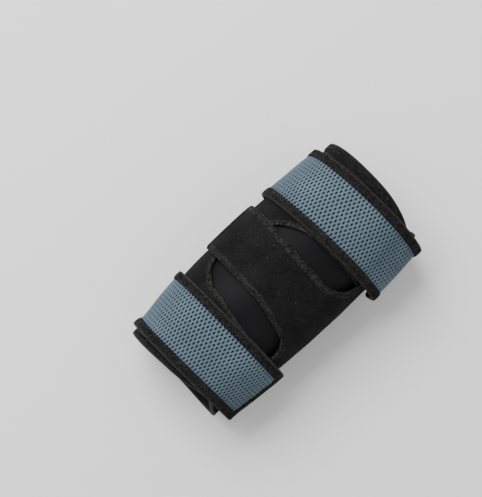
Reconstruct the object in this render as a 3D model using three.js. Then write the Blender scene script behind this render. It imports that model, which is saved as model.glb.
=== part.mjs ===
import * as THREE from "three";

// An elbow brace, closed as it is worn and lying on its back: a neoprene sleeve with bound rims, an outer
// panel of loop fabric with a window over the elbow, a wrap that narrows to a tongue across that window,
// and two padded mesh straps with bound edges, each closed by a hook tab.
//
// Millimetres. x runs along the arm from the forearm rim to the upper-arm rim, y across it, z up.
// A turn is an angle round the brace, in degrees from the middle of the front, positive towards +y.
// A lift is a distance outwards from the surface of the hollow that the arm fills.

// Driving sizes of the sleeve
const sleeveLength = 226.5;
const hollowWidth = 97.2;
const hollowHeight = 76;
const sleeveWall = 3;
const rimTapeWidth = 9;
const rimTapeThickness = 0.8;

// Driving sizes of the panel, its window and the tongue
const panelWall = 2.5;
const windowLength = 94;
const tongueWall = 2.5;
const tongueWidth = 50;
const tongueFromForearmRim = 116.5;
const tongueEndTurn = 84;
const tongueRootTurn = -135;
const tongueDip = 2.1;

// Driving sizes of the straps
const strapThickness = 4;
const strapTapeWidth = 8;
const strapTapeThickness = 0.6;
const strapRootTurn = 210;
const strapCornerRadius = 3;
const tabThickness = 1.2;
const tabInset = 5.5;
const tabStartTurn = -70;
const tabEndTurn = -126;
const forearmStrapFromRim = 37.1;
const upperArmStrapFromRim = 39.3;
const forearmStrap = {
  name: "forearm_strap",
  width: 58,
  middle: forearmStrapFromRim,
  skew: 2.2,
  endTurn: -82,
  endFlare: 1.8,
  slackNearForearm: 3.5,
  slackNearShoulder: 0,
};
const upperArmStrap = {
  name: "upper_arm_strap",
  width: 58,
  middle: sleeveLength - upperArmStrapFromRim,
  skew: 3.8,
  endTurn: -104,
  endFlare: 0,
  slackNearForearm: 5.2,
  slackNearShoulder: 3.7,
};

// Clearances: between two sheets that lie on each other, and round an edge inside its folded tape
const layerGap = 0.5;
const foldGap = 0.45;

// What the panel leaves free under the outer edge of each strap
const panelInset = 13;

// How finely the brace is cut round the arm
const rowStep = 9;
const fullTurn = 360;

// The hollow along the arm: where, as a share of the sleeve's length, and how wide and high, as shares of
// the hollow's largest width and height. It is drawn in under the straps and flares at both rims.
const hollowShape = [
  { at: 0, width: 0.875, height: 0.9 },
  { at: 0.031, width: 0.847, height: 0.87 },
  { at: 0.07, width: 0.83, height: 0.855 },
  { at: 0.155, width: 0.887, height: 0.9 },
  { at: 0.243, width: 0.94, height: 0.94 },
  { at: 0.331, width: 0.977, height: 0.967 },
  { at: 0.464, width: 0.998, height: 0.993 },
  { at: 0.574, width: 1, height: 1 },
  { at: 0.684, width: 0.986, height: 1 },
  { at: 0.773, width: 0.969, height: 0.995 },
  { at: 0.861, width: 0.955, height: 0.985 },
  { at: 0.927, width: 0.93, height: 0.967 },
  { at: 0.967, width: 0.94, height: 0.98 },
  { at: 1, width: 0.973, height: 1.01 },
];

// How far each rim is drawn back from the sleeve's end round the arm, as a share of the sleeve's length
const rimShape = [
  { turn: -180, forearm: 0.009, upper: 0.002 },
  { turn: -135, forearm: 0.009, upper: 0.002 },
  { turn: -96, forearm: 0.012, upper: 0.003 },
  { turn: -84, forearm: 0.019, upper: 0.008 },
  { turn: -72, forearm: 0.027, upper: 0.02 },
  { turn: -62, forearm: 0.037, upper: 0.025 },
  { turn: -50, forearm: 0.0415, upper: 0.019 },
  { turn: -33, forearm: 0.034, upper: 0.0095 },
  { turn: -10, forearm: 0.0195, upper: 0.001 },
  { turn: 20, forearm: 0.009, upper: 0 },
  { turn: 45, forearm: 0.002, upper: 0.001 },
  { turn: 70, forearm: 0, upper: 0.004 },
  { turn: 90, forearm: 0, upper: 0.004 },
  { turn: 135, forearm: 0.004, upper: 0.003 },
];

// Each rim puckers outwards where the strap closes over it: by how much, round which turn and how far to
// both sides of it, and how far in from the sleeve's end it has faded out
const pucker = { forearm: 3.8, upper: 2.2, turn: -94, halfTurn: 24, forearmFrom: 3, forearmTo: 19, upperTo: 17 };

// The window in the panel: how far its two long edges lie from the tongue's middle line, as shares of the
// window's length, and the turns where it ends on the tongue's side and at its tip under the tongue
const windowShape = [
  { turn: -72, forearm: 0.512, upper: 0.452 },
  { turn: -36, forearm: 0.518, upper: 0.456 },
  { turn: -18, forearm: 0.523, upper: 0.45 },
  { turn: 0, forearm: 0.505, upper: 0.437 },
  { turn: 18, forearm: 0.473, upper: 0.396 },
  { turn: 36, forearm: 0.453, upper: 0.291 },
  { turn: 45, forearm: 0.405, upper: 0.19 },
  { turn: 54, forearm: 0.34, upper: 0.115 },
  { turn: 62, forearm: 0.165, upper: 0.035 },
];
const windowTipTurn = 62;
const windowRootTurn = -72;

// Each side of the tongue widens towards its root in a quarter of an ellipse: the turns where it starts
// and ends, and how far it reaches out. Before that the forearm side already leans out by its flare, and
// the upper side is drawn in to a waist by its flare.
const forearmFillet = { startTurn: -40, endTurn: -54.4, reach: 16, flare: 8.2, flareStartTurn: -3 };
const upperFillet = { startTurn: -27, endTurn: -63.5, reach: 25, flare: -2.4, flareStartTurn: 60 };
const waistTurn = -5;

// Turns between which a layer comes up onto the one below it, or goes down off it
const tongueLeavesPanel = { from: -52, to: -38 };
const tongueMeetsPanel = { from: 24, to: 40 };
const strapMeetsTongue = { from: -12, to: -50 };
const strapMeetsTab = { from: -46, to: -68 };

// Small helpers
const radians = Math.PI / 180;
const mix = (a, b, share) => a + (b - a) * share;
const clamp01 = (share) => Math.min(1, Math.max(0, share));
const smoothRamp = (from, to, value) => {
  const share = clamp01((value - from) / (to - from));
  return share * share * (3 - 2 * share);
};
const ramp = (turns, turn) => smoothRamp(turns.from, turns.to, turn);

// A smooth curve through one column of a table; round it goes on from the last row to the first
function curveThrough(table, key, column, round = false) {
  const points = table.map((row) => [row[key], row[column]]);
  const count = points.length;
  const point = (index) => {
    if (!round) return points[Math.min(count - 1, Math.max(0, index))];
    const laps = Math.floor(index / count);
    const [at, value] = points[index - laps * count];
    return [at + laps * fullTurn, value];
  };
  const slope = (index) => {
    const [before, after] = [point(index - 1), point(index + 1)];
    return (after[1] - before[1]) / (after[0] - before[0]);
  };
  return (where) => {
    const start = points[0][0];
    const at = round ? start + ((((where - start) % fullTurn) + fullTurn) % fullTurn) : where;
    let index = points.findIndex(([key0]) => key0 > at) - 1;
    if (index === -2) index = round ? count - 1 : count - 2;
    if (index < 0) index = 0;
    const [from, to] = [point(index), point(index + 1)];
    const span = to[0] - from[0];
    const t = clamp01((at - from[0]) / span);
    const [t2, t3] = [t * t, t * t * t];
    return (
      from[1] * (2 * t3 - 3 * t2 + 1) +
      slope(index) * span * (t3 - 2 * t2 + t) +
      to[1] * (3 * t2 - 2 * t3) +
      slope(index + 1) * span * (t3 - t2)
    );
  };
}

// The hollow's section
const frontHeightShare = 0.54;
const backSquareness = 2.6;
const restFlatness = 1.03;
const widthAlong = curveThrough(hollowShape, "at", "width");
const heightAlong = curveThrough(hollowShape, "at", "height");

// Lifts of the layers. The straps' outer face on the back is what the brace lies on, at z = 0.
const panelLift = sleeveWall + layerGap;
const onPanelLift = panelLift + panelWall + layerGap;
const onTongueLift = onPanelLift + tongueWall + layerGap;
const restLevel = onPanelLift + strapThickness;

// One point of the hollow's section: half an ellipse in front, and a squarer half behind whose lowest
// stretch is pressed flat
function sectionPoint(x, turn) {
  const at = clamp01(x / sleeveLength);
  const halfWidth = (hollowWidth / 2) * widthAlong(at);
  const height = hollowHeight * heightAlong(at);
  const behind = height * (1 - frontHeightShare);
  const sine = Math.sin(turn * radians);
  const cosine = Math.cos(turn * radians);
  const middle = restLevel + behind;
  if (cosine >= 0) return [halfWidth * sine, middle + height * frontHeightShare * cosine];
  const power = 2 / backSquareness;
  const depth = behind * Math.min(1, restFlatness * Math.abs(cosine) ** power);
  return [halfWidth * Math.sign(sine) * Math.abs(sine) ** power, middle - depth];
}

// The point at a lift above the hollow's surface
function place(x, turn, lift) {
  const nudge = 0.5;
  const [y, z] = sectionPoint(x, turn);
  const [y0, z0] = sectionPoint(x, turn - nudge);
  const [y1, z1] = sectionPoint(x, turn + nudge);
  const length = Math.hypot(y1 - y0, z1 - z0);
  return [x, y - (lift * (z1 - z0)) / length, z + (lift * (y1 - y0)) / length];
}

// How many degrees a length round the arm takes, on a surface at a lift, at the brace's side
const turnOf = (length, lift) => length / (hollowWidth / 2 + lift) / radians;

// Turns from one to another, both ends included and the rest at whole row steps, with chosen extra ones
function turnsBetween(from, to, extra = []) {
  const turns = [from, to, ...extra];
  for (let turn = Math.ceil(from / rowStep) * rowStep; turn < to; turn += rowStep) {
    const near = turns.some((other) => Math.abs(other - turn) < rowStep / 3);
    if (!near) turns.push(turn);
  }
  return turns.sort((a, b) => a - b);
}

function geometryFrom(points, faces) {
  const geometry = new THREE.BufferGeometry();
  geometry.setAttribute("position", new THREE.Float32BufferAttribute(points.flat(), 3));
  geometry.setIndex(faces.flatMap(([a, b, c, d]) => [a, b, c, a, c, d]));
  geometry.computeVertexNormals();
  return geometry;
}

// A sheet laid round the brace. Its grid has rows round the arm and columns along it; at(row, column)
// gives [x, turn], and a cell that is not filled is a hole. A round sheet closes on itself.
function sheet({ rows, columns, at, innerLift, wall, round = false, filled = () => true }) {
  const points = [];
  for (let row = 0; row <= rows; row++) {
    for (let column = 0; column <= columns; column++) {
      const [x, turn] = at(row, column);
      const lift = innerLift(x, turn);
      points.push(place(x, turn, lift), place(x, turn, lift + wall));
    }
  }
  const inner = (row, column) => 2 * ((round ? row % rows : row) * (columns + 1) + column);
  const outer = (row, column) => inner(row, column) + 1;
  const there = (row, column) => {
    if (column < 0 || column >= columns) return false;
    if (!round && (row < 0 || row >= rows)) return false;
    return filled((row + rows) % rows, column);
  };
  const faces = [];
  for (let i = 0; i < rows; i++) {
    for (let j = 0; j < columns; j++) {
      if (!there(i, j)) continue;
      faces.push([outer(i, j), outer(i, j + 1), outer(i + 1, j + 1), outer(i + 1, j)]);
      faces.push([inner(i, j), inner(i + 1, j), inner(i + 1, j + 1), inner(i, j + 1)]);
      if (!there(i, j - 1)) faces.push([outer(i, j), outer(i + 1, j), inner(i + 1, j), inner(i, j)]);
      if (!there(i, j + 1)) {
        faces.push([outer(i + 1, j + 1), outer(i, j + 1), inner(i, j + 1), inner(i + 1, j + 1)]);
      }
      if (!there(i - 1, j)) faces.push([outer(i, j + 1), outer(i, j), inner(i, j), inner(i, j + 1)]);
      if (!there(i + 1, j)) {
        faces.push([outer(i + 1, j), outer(i + 1, j + 1), inner(i + 1, j + 1), inner(i + 1, j)]);
      }
    }
  }
  return geometryFrom(points, faces);
}

// A closed profile carried round a closed path: point(step, corner) gives a place
function closedSweep(steps, corners, point) {
  const points = [];
  const faces = [];
  for (let step = 0; step < steps; step++) {
    for (let corner = 0; corner < corners; corner++) {
      points.push(point(step, corner));
      const [nextStep, nextCorner] = [(step + 1) % steps, (corner + 1) % corners];
      faces.push([
        step * corners + corner,
        step * corners + nextCorner,
        nextStep * corners + nextCorner,
        nextStep * corners + corner,
      ]);
    }
  }
  return geometryFrom(points, faces);
}

// The section of a tape folded over an edge: how far in from the fold, and the lift above the fold's
// lower face. Its inside leaves the fold gap round a sheet of the given thickness.
function foldedTape(width, tape, thickness) {
  const whole = thickness + 2 * (foldGap + tape);
  const round = Math.min(1.2, whole / 3);
  return [
    [width, 0],
    [round, 0],
    [0, round],
    [0, whole - round],
    [round, whole],
    [width, whole],
    [width, whole - tape],
    [tape, whole - tape],
    [tape, tape],
    [width, tape],
  ];
}

// Finishes
const finish = (color, roughness) =>
  new THREE.MeshStandardMaterial({ color, roughness, metalness: 0 });
const neoprene = finish(0x1b1b1f, 0.7);
const loopFabric = finish(0x1d1d1e, 0.95);
const blackTape = finish(0x262524, 0.85);
const spacerMesh = finish(0x7b909c, 0.8);
const hookTape = finish(0x151515, 0.8);

const brace = new THREE.Group();
function add(name, geometry, material) {
  const mesh = new THREE.Mesh(geometry, material);
  mesh.name = name;
  brace.add(mesh);
}

// Sleeve: a tube that stops inside the folded tape of each rim
const rimBackForearm = curveThrough(rimShape, "turn", "forearm", true);
const rimBackUpper = curveThrough(rimShape, "turn", "upper", true);
const forearmRim = (turn) => sleeveLength * rimBackForearm(turn);
const upperRim = (turn) => sleeveLength * (1 - rimBackUpper(turn));
const insideRimTape = rimTapeThickness + foldGap;
function rimPucker(x, turn) {
  const share = clamp01(Math.abs(turn - pucker.turn) / pucker.halfTurn);
  const near = clamp01((pucker.forearmTo - x) / (pucker.forearmTo - pucker.forearmFrom));
  const far = clamp01((x - sleeveLength + pucker.upperTo) / pucker.upperTo);
  return Math.cos((share * Math.PI) / 2) ** 2 * (pucker.forearm * near + pucker.upper * far);
}
const roundTurns = turnsBetween(-180, 180);
add(
  "inner_sleeve",
  sheet({
    rows: roundTurns.length - 1,
    columns: hollowShape.length - 1,
    round: true,
    at: (row, column) => {
      const turn = roundTurns[row];
      const from = forearmRim(turn) + insideRimTape;
      const to = upperRim(turn) - insideRimTape;
      return [mix(from, to, hollowShape[column].at), turn];
    },
    innerLift: rimPucker,
    wall: sleeveWall,
  }),
  neoprene,
);

// Rim bindings: tape folded over each end of the sleeve
function rimBinding(name, rimAt, inwards) {
  const profile = foldedTape(rimTapeWidth, rimTapeThickness, sleeveWall);
  const lowest = -rimTapeThickness - foldGap;
  const point = (step, corner) => {
    const turn = roundTurns[step];
    const [inset, lift] = profile[corner];
    const x = rimAt(turn) + inwards * inset;
    return place(x, turn, lowest + lift + rimPucker(x, turn));
  };
  const geometry = closedSweep(roundTurns.length - 1, profile.length, point);
  if (inwards < 0) geometry.index.array.reverse();
  add(name, geometry, blackTape);
}
rimBinding("forearm_rim_binding", forearmRim, 1);
rimBinding("upper_arm_rim_binding", upperRim, -1);

// Straps' middle lines run a little askew
const strapMiddle = (strap, turn) => strap.middle - strap.skew * Math.sin(turn * radians);

// Outer panel: it ends under the straps, and its window leaves the sleeve bare over the elbow
const panelFrom = (turn) => strapMiddle(forearmStrap, turn) - forearmStrap.width / 2 + panelInset;
const panelTo = (turn) => strapMiddle(upperArmStrap, turn) + upperArmStrap.width / 2 - panelInset;
const windowForearm = curveThrough(windowShape, "turn", "forearm");
const windowUpper = curveThrough(windowShape, "turn", "upper");
const windowFrom = (turn) => tongueFromForearmRim - windowLength * windowForearm(turn);
const windowTo = (turn) => tongueFromForearmRim + windowLength * windowUpper(turn);
const sideColumns = 3;
const windowColumns = 4;
const panelColumns = 2 * sideColumns + windowColumns;
const panelTurns = turnsBetween(-180, 180, [windowRootTurn, 49.5, 58.5, windowTipTurn]);
const windowRootRow = panelTurns.indexOf(windowRootTurn);
const windowTipRow = panelTurns.indexOf(windowTipTurn);
const besideWindow = (column) =>
  column < sideColumns || column >= sideColumns + windowColumns;
add(
  "outer_panel",
  sheet({
    rows: panelTurns.length - 1,
    columns: panelColumns,
    round: true,
    at: (row, column) => {
      const share = (column - sideColumns) / windowColumns;
      const turn = panelTurns[row];
      const [left, right] = [windowFrom(turn), windowTo(turn)];
      if (share < 0) return [mix(panelFrom(turn), left, column / sideColumns), turn];
      if (share > 1) {
        const beyond = (column - sideColumns - windowColumns) / sideColumns;
        return [mix(right, panelTo(turn), beyond), turn];
      }
      return [mix(left, right, share), turn];
    },
    innerLift: () => panelLift,
    wall: panelWall,
    filled: (row, column) => besideWindow(column) || row < windowRootRow || row >= windowTipRow,
  }),
  loopFabric,
);

// Tongue wrap: from its seam behind, round the side and over the front, where it narrows to the tongue
const tongueDipLift = (turn) =>
  tongueDip * ramp(tongueLeavesPanel, turn) * (1 - ramp(tongueMeetsPanel, turn));
const tongueLift = (x, turn) => onPanelLift - tongueDipLift(turn);
function filletReach(fillet, turn) {
  const share = clamp01((fillet.startTurn - turn) / (fillet.startTurn - fillet.endTurn));
  return fillet.reach * (1 - Math.sqrt(1 - share * share));
}
const forearmFlare = (turn) => {
  const { flare, flareStartTurn, endTurn } = forearmFillet;
  return flare * clamp01((flareStartTurn - turn) / (flareStartTurn - endTurn));
};
const waistFlare = (turn) =>
  upperFillet.flare * smoothRamp(upperFillet.flareStartTurn, waistTurn, turn);
const tongueCornerCut = 3;
const filletTurns = [forearmFillet.endTurn, -53, -50, upperFillet.endTurn, -62, -58.5];
const tongueTurns = turnsBetween(tongueRootTurn, tongueEndTurn, [...filletTurns, tongueEndTurn - 4]);
const tongueColumns = 6;
const shoulderColumns = 3;
add(
  "tongue_wrap",
  sheet({
    rows: tongueTurns.length - 1,
    columns: tongueColumns + 2 * shoulderColumns,
    at: (row, column) => {
      const turn = tongueTurns[row];
      const nearEnd = tongueCornerCut * smoothRamp(tongueEndTurn - 6, tongueEndTurn, turn);
      const half = tongueWidth / 2 - nearEnd;
      const from = tongueFromForearmRim - half - forearmFlare(turn) - filletReach(forearmFillet, turn);
      const to = tongueFromForearmRim + half + waistFlare(turn) + filletReach(upperFillet, turn);
      const along = column - shoulderColumns;
      if (along < 0) return [mix(panelFrom(turn), from, column / shoulderColumns), turn];
      if (along <= tongueColumns) return [mix(from, to, along / tongueColumns), turn];
      return [mix(to, panelTo(turn), (along - tongueColumns) / shoulderColumns), turn];
    },
    innerLift: tongueLift,
    wall: tongueWall,
    filled: (row, column) => {
      const end = tongueTurns[row + 1];
      if (column < shoulderColumns) return end <= forearmFillet.endTurn;
      return column < shoulderColumns + tongueColumns || end <= upperFillet.endTurn;
    },
  }),
  loopFabric,
);

// Straps: how far a strap and its hook tab stand off the wrap at the side where they close
const slackMiddleTurn = -84;
const slackHalfTurn = 32;
function closingSlack(strap, x, turn) {
  const share = clamp01(Math.abs(turn - slackMiddleTurn) / slackHalfTurn);
  const bump = Math.cos((share * Math.PI) / 2) ** 2;
  const across = clamp01((x - strapMiddle(strap, turn)) / strap.width + 0.5);
  const flare = strap.endFlare * smoothRamp(strap.endTurn + 18, strap.endTurn, turn);
  return bump * (mix(strap.slackNearForearm, strap.slackNearShoulder, across) + flare);
}
const tabLift = (strap) => (x, turn) => onTongueLift + closingSlack(strap, x, turn);
function strapLift(strap, x, turn) {
  const overTongue = (tongueWall + layerGap) * ramp(strapMeetsTongue, turn);
  const overTab = (tabThickness + layerGap) * ramp(strapMeetsTab, turn);
  return onPanelLift + overTongue + overTab + closingSlack(strap, x, turn);
}

// Two matching rounded outlines of a strap, its edge and the inner edge of its tape, as [x, turn]
function strapOutlines(strap) {
  const endLift = onTongueLift + strapThickness;
  const degrees = (length) => turnOf(length, endLift);
  const cornerSteps = 3;
  const outline = (inset, radius) => {
    const half = strap.width / 2 - inset;
    const [low, high] = [strap.endTurn + degrees(inset), strapRootTurn - degrees(inset)];
    const first = strap.endTurn + degrees(strapTapeWidth + 1);
    const last = strapRootTurn - degrees(strapTapeWidth + 1);
    const sideTurns = turnsBetween(first, last);
    const points = [];
    const put = (side, turn) => points.push([strapMiddle(strap, turn) + side, turn]);
    const corner = (side, turn, inwards, backwards) => {
      for (let step = 0; step <= cornerSteps; step++) {
        const angle = ((backwards ? cornerSteps - step : step) / cornerSteps) * (Math.PI / 2);
        const along = radius * (1 - Math.sin(angle));
        const across = radius * (1 - Math.cos(angle));
        put(side * (half - across), turn + inwards * degrees(along));
      }
    };
    sideTurns.forEach((turn) => put(-half, turn));
    corner(-1, high, -1, false);
    corner(1, high, -1, true);
    [...sideTurns].reverse().forEach((turn) => put(half, turn));
    corner(1, low, 1, false);
    put(0, low);
    corner(-1, low, 1, true);
    return points;
  };
  const innerRadius = 0.8;
  return [outline(0, strapCornerRadius), outline(strapTapeWidth, innerRadius)];
}

function strapBinding(strap) {
  const padThickness = strapThickness - 2 * (strapTapeThickness + foldGap);
  const profile = foldedTape(strapTapeWidth, strapTapeThickness, padThickness);
  const [edge, inner] = strapOutlines(strap);
  const point = (step, corner) => {
    const [inset, lift] = profile[corner];
    const share = inset / strapTapeWidth;
    const x = mix(edge[step][0], inner[step][0], share);
    const turn = mix(edge[step][1], inner[step][1], share);
    return place(x, turn, strapLift(strap, x, turn) + lift);
  };
  return closedSweep(edge.length, profile.length, point);
}

// The pad's corners are cut back so that they stay inside the rounded tape
function strapPad(strap) {
  const inset = strapTapeThickness + foldGap;
  const degrees = (length) => turnOf(length, onTongueLift + strapThickness);
  const cut = strapCornerRadius;
  const [from, to] = [strap.endTurn + degrees(inset), strapRootTurn - degrees(inset)];
  const bound = degrees(strapTapeWidth - inset + 1);
  const turns = turnsBetween(from, to, [from + degrees(cut), from + bound, to - bound, to - degrees(cut)]);
  const middle = strap.width / 2 - strapTapeWidth;
  return sheet({
    rows: turns.length - 1,
    columns: 5,
    at: (row, column) => {
      const turn = turns[row];
      const toEnd = Math.min(turn - from, to - turn) / degrees(cut);
      const half = strap.width / 2 - inset - cut * (1 - clamp01(toEnd));
      const across = [-half, -middle, -middle / 3, middle / 3, middle, half];
      return [strapMiddle(strap, turn) + across[column], turn];
    },
    innerLift: (x, turn) => strapLift(strap, x, turn) + inset,
    wall: strapThickness - 2 * inset,
  });
}

// Hook tab: it comes out from under the strap's end and grips the wrap behind the side
function hookTab(strap) {
  const turns = turnsBetween(tabEndTurn, tabStartTurn);
  const columns = 3;
  return sheet({
    rows: turns.length - 1,
    columns,
    at: (row, column) => {
      const turn = turns[row];
      const width = strap.width - 2 * tabInset;
      return [strapMiddle(strap, turn) + width * (column / columns - 0.5), turn];
    },
    innerLift: tabLift(strap),
    wall: tabThickness,
  });
}

for (const strap of [forearmStrap, upperArmStrap]) {
  add(`${strap.name}_pad`, strapPad(strap), spacerMesh);
  add(`${strap.name}_binding`, strapBinding(strap), blackTape);
  add(`${strap.name}_hook_tab`, hookTab(strap), hookTape);
}

// The brace stands on z = 0 with its box centred on the origin
const box = new THREE.Box3().setFromObject(brace);
const centre = box.getCenter(new THREE.Vector3());
brace.position.set(-centre.x, -centre.y, -box.min.z);

const part = new THREE.Group();
part.name = "elbow_brace";
part.add(brace);
export default part;
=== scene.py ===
import bisect
import math
import bmesh
import bpy
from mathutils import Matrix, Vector, noise


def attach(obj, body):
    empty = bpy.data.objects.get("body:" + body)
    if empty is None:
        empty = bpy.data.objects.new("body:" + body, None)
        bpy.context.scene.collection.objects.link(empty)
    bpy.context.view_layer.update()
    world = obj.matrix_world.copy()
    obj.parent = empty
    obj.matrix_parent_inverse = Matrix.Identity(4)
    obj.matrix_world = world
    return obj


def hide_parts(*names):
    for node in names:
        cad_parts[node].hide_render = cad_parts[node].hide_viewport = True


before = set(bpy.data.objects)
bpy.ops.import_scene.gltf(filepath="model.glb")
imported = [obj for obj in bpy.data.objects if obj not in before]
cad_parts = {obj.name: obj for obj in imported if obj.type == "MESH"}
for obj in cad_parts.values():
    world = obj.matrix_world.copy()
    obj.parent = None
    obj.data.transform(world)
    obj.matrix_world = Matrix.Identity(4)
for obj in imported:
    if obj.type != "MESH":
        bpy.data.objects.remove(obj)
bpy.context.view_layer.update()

# Sleeve: a tube of 3 mm neoprene with a smooth knit face, glued and sewn up at the back. It is drawn
# in under the straps, flares at both rims, and lies on its back with its underside pressed flat.
# Everything else is laid over it: x runs along it in mm from the forearm rim, a turn is an angle round
# it in degrees from the middle of the front, and a lift is mm outwards from the hollow inside it.
SLEEVE_LENGTH = 226.5
HOLLOW_WIDTH, HOLLOW_HEIGHT = 97.2, 76.0
SLEEVE_WALL = 3.0
LAYER_GAP = 0.5
PANEL_WALL = TONGUE_WALL = 2.5
STRAP_THICKNESS = 4.0
PANEL_LIFT = SLEEVE_WALL + LAYER_GAP
ON_PANEL = PANEL_LIFT + PANEL_WALL + LAYER_GAP
ON_TONGUE = ON_PANEL + TONGUE_WALL + LAYER_GAP
REST_LEVEL = ON_PANEL + STRAP_THICKNESS
FRONT_SHARE, SQUARENESS, FLATNESS = 0.54, 2.6, 1.03
MIDDLE_X, MIDDLE_Y = 113.2372, -4.5661

# place along the sleeve, then width and height of the hollow, as shares of the largest ones
HOLLOW = [
    (0, 0.875, 0.9), (0.031, 0.847, 0.87), (0.07, 0.83, 0.855), (0.155, 0.887, 0.9), (0.243, 0.94, 0.94),
    (0.331, 0.977, 0.967), (0.464, 0.998, 0.993), (0.574, 1, 1), (0.684, 0.986, 1), (0.773, 0.969, 0.995),
    (0.861, 0.955, 0.985), (0.927, 0.93, 0.967), (0.967, 0.94, 0.98), (1, 0.973, 1.01),
]
# turn, then how far each rim is drawn back, as shares of the length
RIMS = [
    (-180, 0.009, 0.002), (-135, 0.009, 0.002), (-96, 0.012, 0.003), (-84, 0.019, 0.008), (-72, 0.027, 0.02),
    (-62, 0.037, 0.025), (-50, 0.0415, 0.019), (-33, 0.034, 0.0095), (-10, 0.0195, 0.001), (20, 0.009, 0),
    (45, 0.002, 0.001), (70, 0, 0.004), (90, 0, 0.004), (135, 0.004, 0.003),
]


def curve_through(rows, column, closed=False):
    """A smooth curve through one column of a table; a closed one goes on from its last row to its first."""
    points = [(row[0], row[column]) for row in rows]
    if closed:
        (first, u), (second, v), (last, w) = points[0], points[1], points[-1]
        points = [(last - 360, w)] + points + [(first + 360, u), (second + 360, v)]

    def slope(i):
        (a, u), (b, v) = points[max(0, i - 1)], points[min(len(points) - 1, i + 1)]
        return (v - u) / (b - a)

    slopes = [slope(i) for i in range(len(points))]

    def value(where):
        at = (where + 180) % 360 - 180 if closed else where
        i = 0
        while i < len(points) - 2 and points[i + 1][0] <= at:
            i += 1
        (a, u), (b, v) = points[i], points[i + 1]
        t = min(1, max(0, (at - a) / (b - a)))
        t2, t3 = t * t, t * t * t
        return (
            u * (2 * t3 - 3 * t2 + 1) + slopes[i] * (b - a) * (t3 - 2 * t2 + t)
            + v * (3 * t2 - 2 * t3) + slopes[i + 1] * (b - a) * (t3 - t2)
        )

    return value


def mix(a, b, share):
    return a + (b - a) * share


def ramp(start, end, value):
    share = min(1, max(0, (value - start) / (end - start)))
    return share * share * (3 - 2 * share)


width_along = curve_through(HOLLOW, 1)
height_along = curve_through(HOLLOW, 2)
forearm_drawn_back = curve_through(RIMS, 1, closed=True)
upper_drawn_back = curve_through(RIMS, 2, closed=True)


def section(half, height, turn):
    behind = height * (1 - FRONT_SHARE)
    sine, cosine = math.sin(math.radians(turn)), math.cos(math.radians(turn))
    middle = REST_LEVEL + behind
    if cosine >= 0:
        return half * sine, middle + height * FRONT_SHARE * cosine
    power = 2 / SQUARENESS
    across = half * math.copysign(abs(sine) ** power, sine)
    return across, middle - behind * min(1, FLATNESS * abs(cosine) ** power)


# Worn cloth is uneven by a little, in waves of these lengths, and fades to even where it is pressed flat
UNEVEN_MM, UNEVEN_ALONG, UNEVEN_ACROSS = 0.45, 26, 22
UNEVEN_FADES, EVEN_FROM = 95, 140


def over_hollow(x, turn, lift):
    """The place in metres at a lift over the hollow, with the cloth's unevenness on top."""
    at = min(1, max(0, x / SLEEVE_LENGTH))
    half, height = HOLLOW_WIDTH / 2 * width_along(at), HOLLOW_HEIGHT * height_along(at)
    y, z = section(half, height, turn)
    (y0, z0), (y1, z1) = section(half, height, turn - 0.5), section(half, height, turn + 0.5)
    length = math.hypot(y1 - y0, z1 - z0)
    free = 1 - ramp(UNEVEN_FADES, EVEN_FROM, abs((turn + 180) % 360 - 180))
    lift += UNEVEN_MM * free * noise.noise(Vector((x / UNEVEN_ALONG, y / UNEVEN_ACROSS, z / UNEVEN_ACROSS)))
    return Vector((
        (x - MIDDLE_X) / 1000,
        (y - lift * (z1 - z0) / length - MIDDLE_Y) / 1000,
        (z + lift * (y1 - y0) / length) / 1000,
    ))


def outwards(x, turn):
    return (over_hollow(x, turn, 1) - over_hollow(x, turn, 0)).normalized()


def spread(start, end, step):
    count = max(1, round(abs(end - start) / step))
    return [mix(start, end, i / count) for i in range(count + 1)]


def linked(name, data):
    made = bpy.data.objects.new(name, data)
    bpy.context.collection.objects.link(made)
    return made


def finished(name, verts, faces, uvs):
    """A smooth mesh object from places and faces; uvs gives a pair of lengths in mm for each place."""
    mesh = bpy.data.meshes.new(name)
    mesh.from_pydata(verts, [], faces)
    layer = mesh.uv_layers.new(name="UVMap")
    for loop in mesh.loops:
        layer.data[loop.index].uv = uvs[loop.vertex_index]
    piece = linked(name, mesh)
    mesh.validate()
    mesh.shade_smooth()
    return piece


CLOTH_MM_PER_DEGREE, RIM_MM_PER_DEGREE = 0.9, 0.85
SHARPEST_ROUNDED = math.radians(50)


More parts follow.
